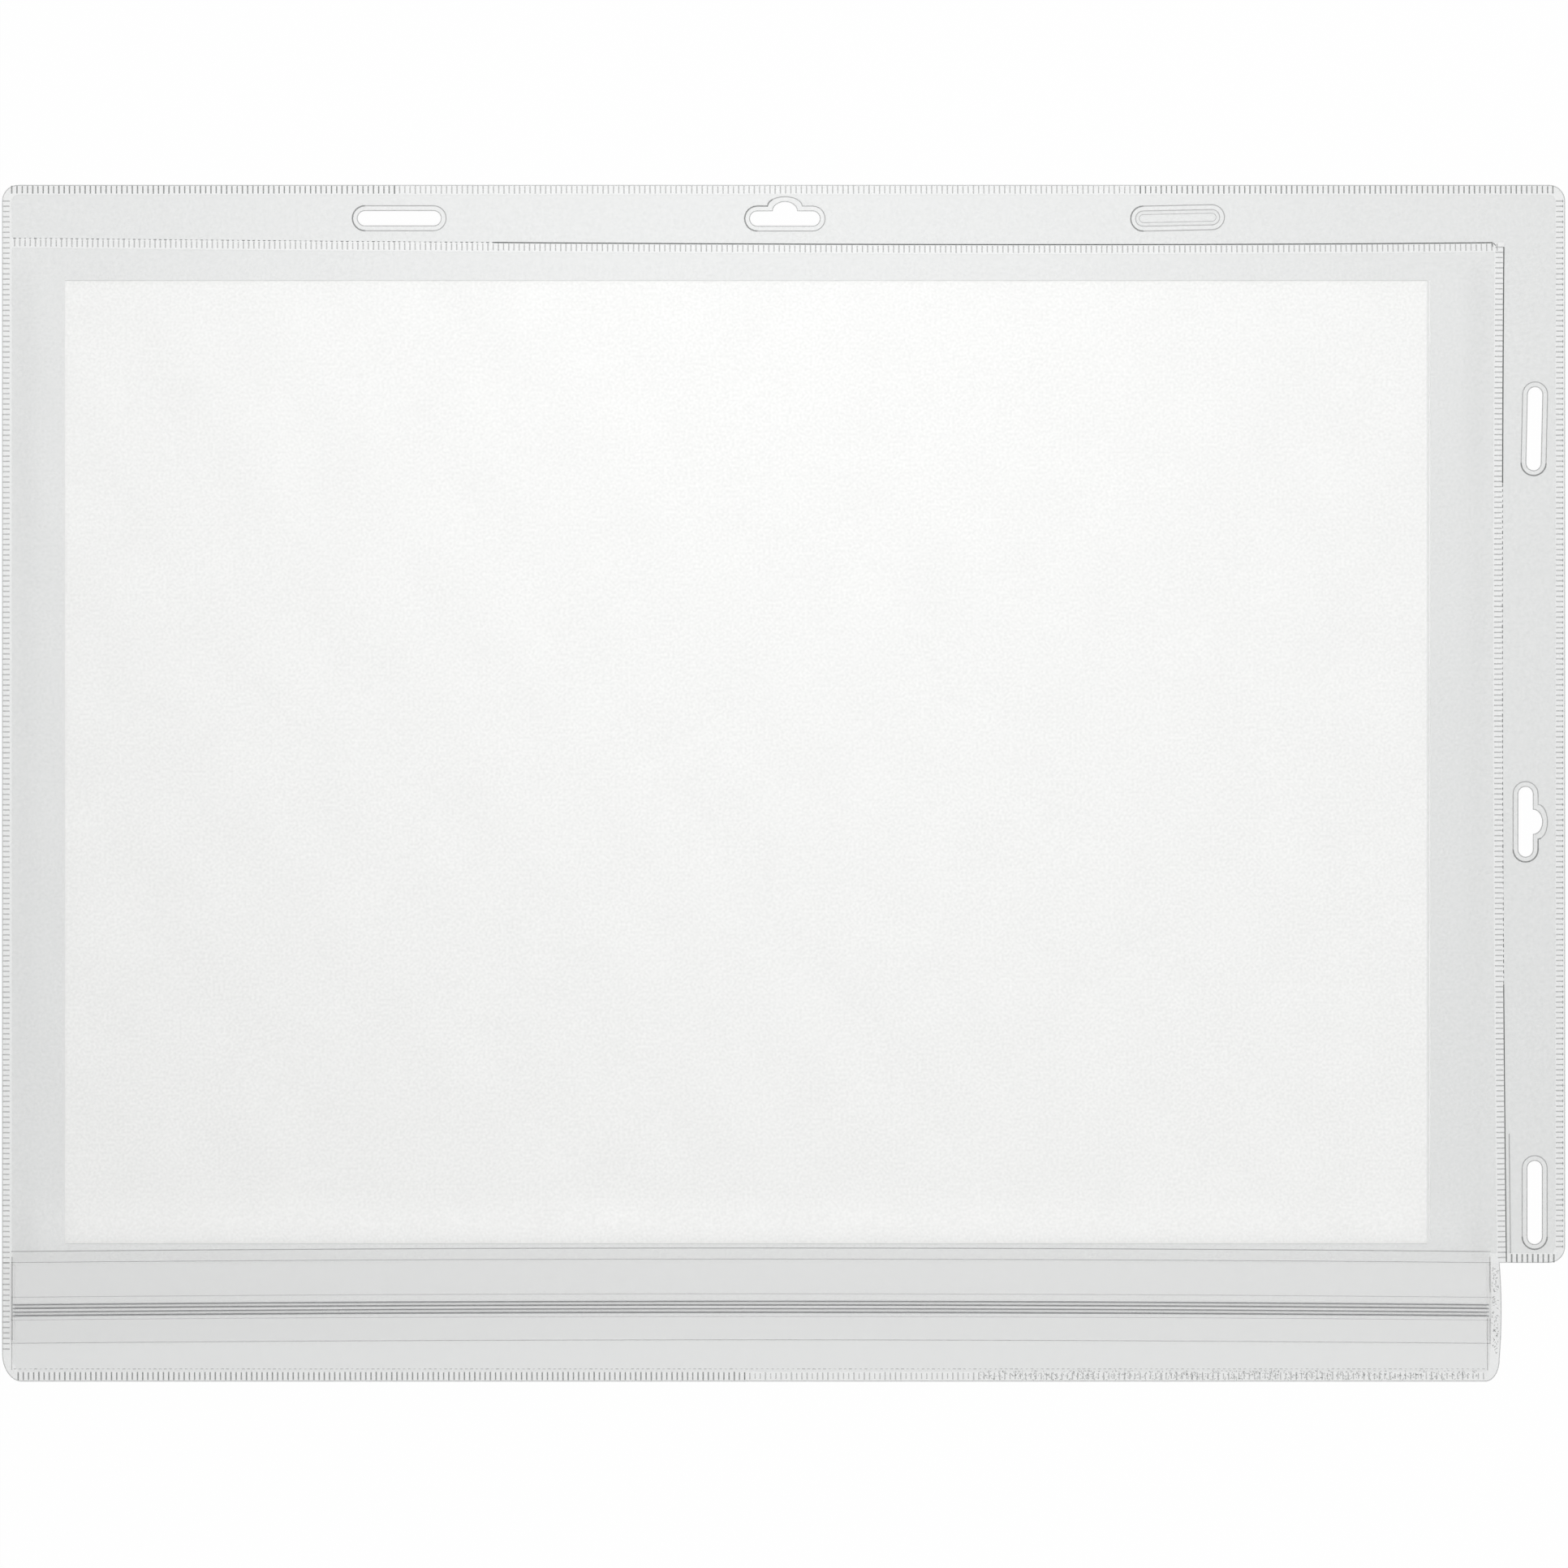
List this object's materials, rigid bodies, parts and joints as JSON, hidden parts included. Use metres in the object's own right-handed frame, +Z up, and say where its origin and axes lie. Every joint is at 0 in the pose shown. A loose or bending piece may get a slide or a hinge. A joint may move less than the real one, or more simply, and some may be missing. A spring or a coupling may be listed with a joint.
{
  "type": "document pocket",
  "caption": "Clear film document pocket with a sheet inside, a press-to-close strip along the bottom and a slotted hanging flange along the top and right edges.",
  "frame": {"origin": "on the surface that the pocket lies on, under the middle of its whole outline", "axes": "+X to the right along the closing strip, towards the right flange; +Y in the plane, towards the top flange; +Z up, out of the front film"},
  "size_m": [0.482, 0.369, 0.0026],
  "materials": {
    "back_film": "clear soft film, satin",
    "front_film": "clear soft film with a fine matt grain",
    "zip_tape": "clear extruded strip, glossy",
    "paper": "plain white uncoated paper"
  },
  "bodies": {
    "root": {"back_sheet": "back_film", "front_sheet": "front_film", "zip_front_tape": "zip_tape", "zip_back_tape": "zip_tape", "insert_sheet": "paper"}
  },
  "joints": []
}
